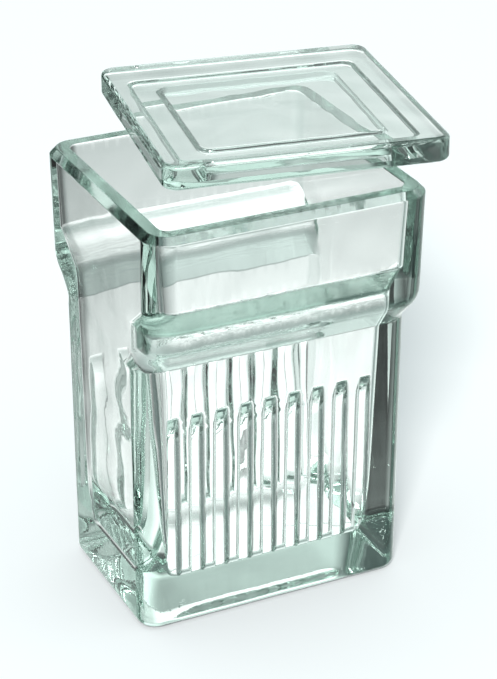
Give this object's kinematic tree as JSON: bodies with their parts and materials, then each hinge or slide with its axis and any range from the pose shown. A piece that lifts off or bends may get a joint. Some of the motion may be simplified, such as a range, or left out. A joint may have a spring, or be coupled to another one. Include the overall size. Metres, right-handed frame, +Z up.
{
  "type": "slide staining jar",
  "caption": "Rectangular pressed-glass jar that holds microscope slides upright between ribs, with a deeper upper part and a loose glass lid laid askew on its rim.",
  "frame": {"origin": "middle of the underside of the jar", "axes": "+X to the right along the long walls, +Y to the back, +Z up out of the mouth; the long walls with the slide ribs face -Y and +Y"},
  "size_m": [0.0736, 0.0688, 0.095],
  "materials": {
    "jar_glass": "pressed soda-lime glass, fire polished, rim ground flat",
    "lid_glass": "pressed soda-lime glass, fire polished"
  },
  "bodies": {
    "root": {"jar": "jar_glass", "lid": "lid_glass"}
  },
  "joints": []
}
